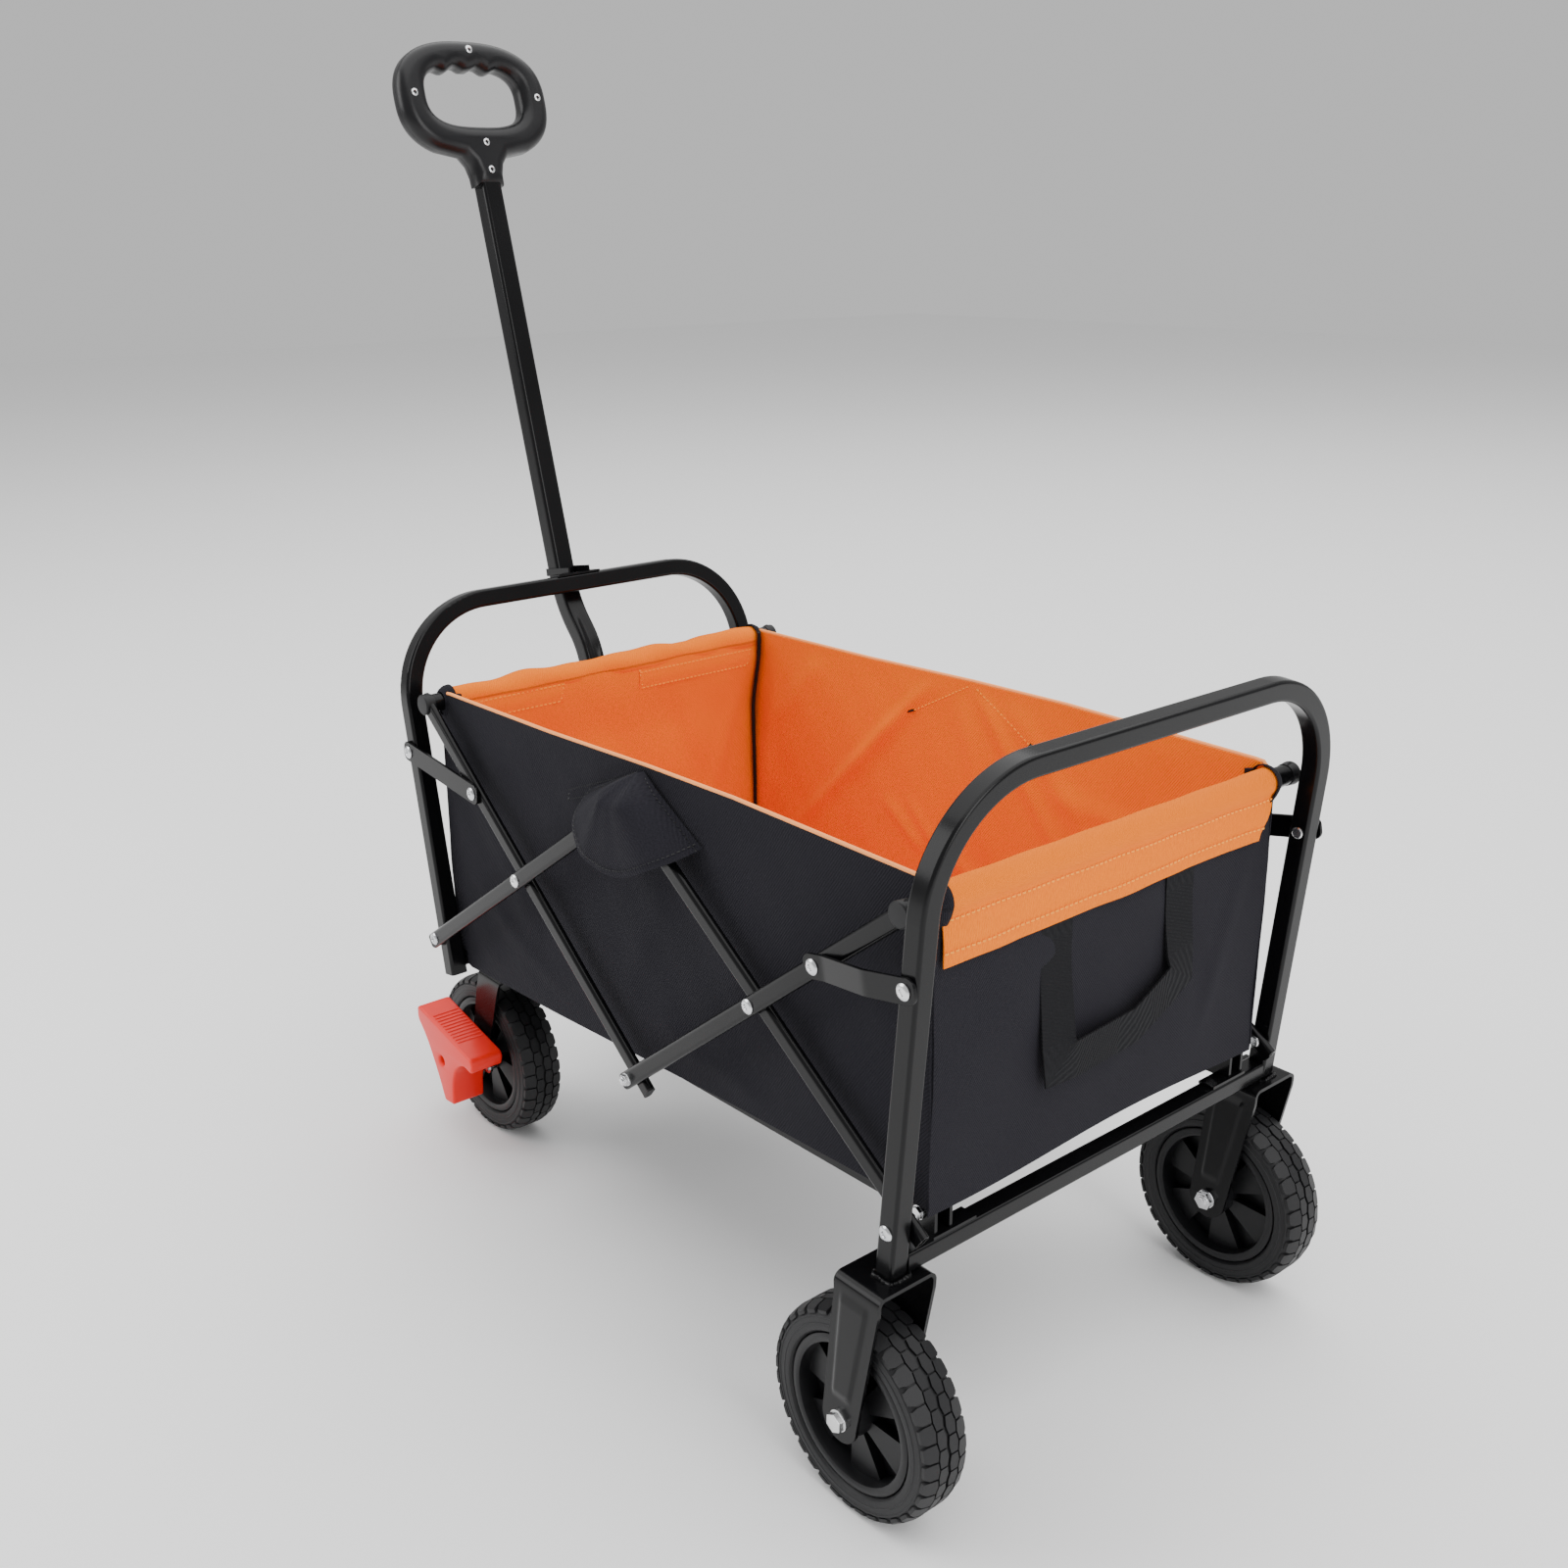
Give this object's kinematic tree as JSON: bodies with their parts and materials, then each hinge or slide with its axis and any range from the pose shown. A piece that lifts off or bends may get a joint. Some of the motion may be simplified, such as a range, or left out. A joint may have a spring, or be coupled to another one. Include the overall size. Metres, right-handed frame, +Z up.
{
  "type": "folding wagon",
  "caption": "Folding utility wagon: fabric basket on a scissor frame, swivel front wheels with brake pedals, fixed rear wheels and a tilting pull handle.",
  "frame": {"origin": "middle of the wagon's outline on the ground", "axes": "+X along the wagon to the rear, with the handle at -X; +Y to the right-hand side; +Z up"},
  "size_m": [0.9922, 0.534, 1.1418],
  "materials": {
    "black_paint": "semi-gloss powder coat",
    "zinc": "zinc plated",
    "tyre": "moulded tread rubber",
    "wheel_plastic": "moulded, fine grain",
    "cap_plastic": "moulded",
    "grip_plastic": "satin moulded",
    "pedal_plastic": "glossy moulded",
    "orange_fabric": "woven polyester",
    "black_fabric": "woven polyester twill",
    "webbing": "ribbed webbing",
    "board": "stiff board"
  },
  "bodies": {
    "rear_frame": {"rear_frame_tube": "black_paint", "rear_crossbar": "black_paint", "rear_fork_left": "black_paint", "rear_fork_right": "black_paint", "rear_rail_brackets": "black_paint", "rear_axle_bolts": "zinc", "rear_frame_pins": "zinc"},
    "rear_wheel_left": {"rear_tyre_left": "tyre", "rear_rim_left": "wheel_plastic"},
    "rear_wheel_right": {"rear_tyre_right": "tyre", "rear_rim_right": "wheel_plastic"},
    "rear_cross": {"rear_cross_left": "black_paint", "rear_cross_right": "black_paint", "rear_cross_rivets": "zinc"},
    "rear_lift": {"rear_lift_left": "black_paint", "rear_lift_right": "black_paint", "rear_hem_rod": "black_paint", "rear_lift_plugs": "cap_plastic", "centre_bolts": "zinc", "rear_hem": "orange_fabric"},
    "front_cross": {"front_cross_left": "black_paint", "front_cross_right": "black_paint"},
    "front_lift": {"front_lift_left": "black_paint", "front_lift_right": "black_paint", "front_hem_rod": "black_paint", "front_lift_caps": "cap_plastic", "front_cross_rivets": "zinc", "front_hem": "orange_fabric"},
    "front_frame": {"front_frame_tube": "black_paint", "front_crossbar": "black_paint", "front_rail_brackets": "black_paint", "front_frame_pins": "zinc", "handle_bracket": "black_paint", "handle_clip": "black_paint", "caster_plates": "black_paint"},
    "caster_left": {"caster_fork_left": "black_paint", "caster_axle_left": "zinc"},
    "caster_right": {"caster_fork_right": "black_paint", "caster_axle_right": "zinc"},
    "caster_wheel_left": {"caster_tyre_left": "tyre", "caster_rim_left": "wheel_plastic"},
    "caster_wheel_right": {"caster_tyre_right": "tyre", "caster_rim_right": "wheel_plastic"},
    "pedal_left": {"brake_pedal_left": "pedal_plastic"},
    "pedal_right": {"brake_pedal_right": "pedal_plastic"},
    "rear_link_pair": {"rear_links": "black_paint"},
    "front_link_pair": {"front_links": "black_paint"},
    "rear_rail_pair": {"rear_rails": "black_paint", "rear_base_board": "board"},
    "front_rail_pair": {"front_rails": "black_paint", "front_base_board": "board"},
    "handle": {"handle_pole": "black_paint", "grip_front": "grip_plastic", "grip_rear": "grip_plastic", "grip_screws": "zinc"},
    "bag": {"bag_sides": "black_fabric", "bag_ends": "black_fabric", "bag_floor": "black_fabric", "bag_flaps": "black_fabric", "carry_strap": "webbing"}
  },
  "joints": [
    {"name": "fold", "type": "hinge", "parent": "rear_frame", "child": "rear_cross", "pos_m": [0.434, 0, 0.26], "axis": [0, 1, 0], "range_deg": [0, 45.58], "deforming": ["bag_sides", "bag_ends", "bag_floor", "bag_flaps", "carry_strap"]},
    {"name": "top_centre", "type": "hinge", "parent": "rear_cross", "child": "front_cross", "pos_m": [0.091, 0, 0.495], "axis": [0, 1, 0], "range_deg": [-91.17, 0]},
    {"name": "front_pivot", "type": "hinge", "parent": "front_cross", "child": "front_frame", "pos_m": [-0.252, 0, 0.26], "axis": [0, 1, 0], "range_deg": [0, 45.59]},
    {"name": "rear_crossing", "type": "hinge", "parent": "rear_cross", "child": "rear_lift", "pos_m": [0.264, 0, 0.37647], "axis": [0, 1, 0], "range_deg": [-87.81, 0]},
    {"name": "front_crossing", "type": "hinge", "parent": "front_cross", "child": "front_lift", "pos_m": [-0.082, 0, 0.37647], "axis": [0, 1, 0], "range_deg": [0, 87.81]},
    {"name": "bag_hang", "type": "hinge", "parent": "rear_cross", "child": "bag", "pos_m": [0.091, 0, 0.495], "axis": [0, 1, 0], "range_deg": [-45.59, 0]},
    {"name": "rear_link_pivot", "type": "hinge", "parent": "rear_frame", "child": "rear_link_pair", "pos_m": [0.45135, 0, 0.46236], "axis": [0, 1, 0], "range_deg": [0, 82.36]},
    {"name": "front_link_pivot", "type": "hinge", "parent": "front_frame", "child": "front_link_pair", "pos_m": [-0.28538, 0, 0.45324], "axis": [0, 1, 0], "range_deg": [-71.02, 0]},
    {"name": "rear_rail_pivot", "type": "hinge", "parent": "rear_frame", "child": "rear_rail_pair", "pos_m": [0.421, 0, 0.252], "axis": [0, 1, 0], "range_deg": [0, 72.88]},
    {"name": "front_rail_pivot", "type": "hinge", "parent": "front_frame", "child": "front_rail_pair", "pos_m": [-0.231, 0, 0.235], "axis": [0, 1, 0], "range_deg": [-87.4, 0]},
    {"name": "rear_spin_left", "type": "hinge", "parent": "rear_frame", "child": "rear_wheel_left", "pos_m": [0.407, -0.232, 0.089], "axis": [0, 1, 0], "continuous": true},
    {"name": "rear_spin_right", "type": "hinge", "parent": "rear_frame", "child": "rear_wheel_right", "pos_m": [0.407, 0.232, 0.089], "axis": [0, 1, 0], "continuous": true},
    {"name": "swivel_left", "type": "hinge", "parent": "front_frame", "child": "caster_left", "pos_m": [-0.248, -0.143, 0.2], "axis": [0, 0, 1], "continuous": true},
    {"name": "swivel_right", "type": "hinge", "parent": "front_frame", "child": "caster_right", "pos_m": [-0.248, 0.143, 0.2], "axis": [0, 0, 1], "continuous": true},
    {"name": "caster_spin_left", "type": "hinge", "parent": "caster_left", "child": "caster_wheel_left", "pos_m": [-0.286, -0.143, 0.089], "axis": [0, 1, 0], "continuous": true},
    {"name": "caster_spin_right", "type": "hinge", "parent": "caster_right", "child": "caster_wheel_right", "pos_m": [-0.286, 0.143, 0.089], "axis": [0, 1, 0], "continuous": true},
    {"name": "pedal_left", "type": "hinge", "parent": "caster_left", "child": "pedal_left", "pos_m": [-0.286, -0.195, 0.112], "axis": [0, 1, 0], "range_deg": [0, 12]},
    {"name": "pedal_right", "type": "hinge", "parent": "caster_right", "child": "pedal_right", "pos_m": [-0.286, 0.195, 0.112], "axis": [0, 1, 0], "range_deg": [0, 12]},
    {"name": "handle_pivot", "type": "hinge", "parent": "front_frame", "child": "handle", "pos_m": [-0.275, 0, 0.246], "axis": [0, 1, 0], "range_deg": [-75, 0]}
  ],
  "couplings": [
    {"joint": "top_centre", "follows": "fold", "ratio": -2},
    {"joint": "front_pivot", "follows": "fold", "ratio": 1},
    {"joint": "rear_crossing", "follows": "fold", "ratio": -1.9262},
    {"joint": "front_crossing", "follows": "fold", "ratio": 1.9262},
    {"joint": "bag_hang", "follows": "fold", "ratio": -1},
    {"joint": "rear_link_pivot", "follows": "fold", "ratio": 1.8066},
    {"joint": "front_link_pivot", "follows": "fold", "ratio": -1.558},
    {"joint": "rear_rail_pivot", "follows": "fold", "ratio": 1.5988},
    {"joint": "front_rail_pivot", "follows": "fold", "ratio": -1.9173}
  ]
}
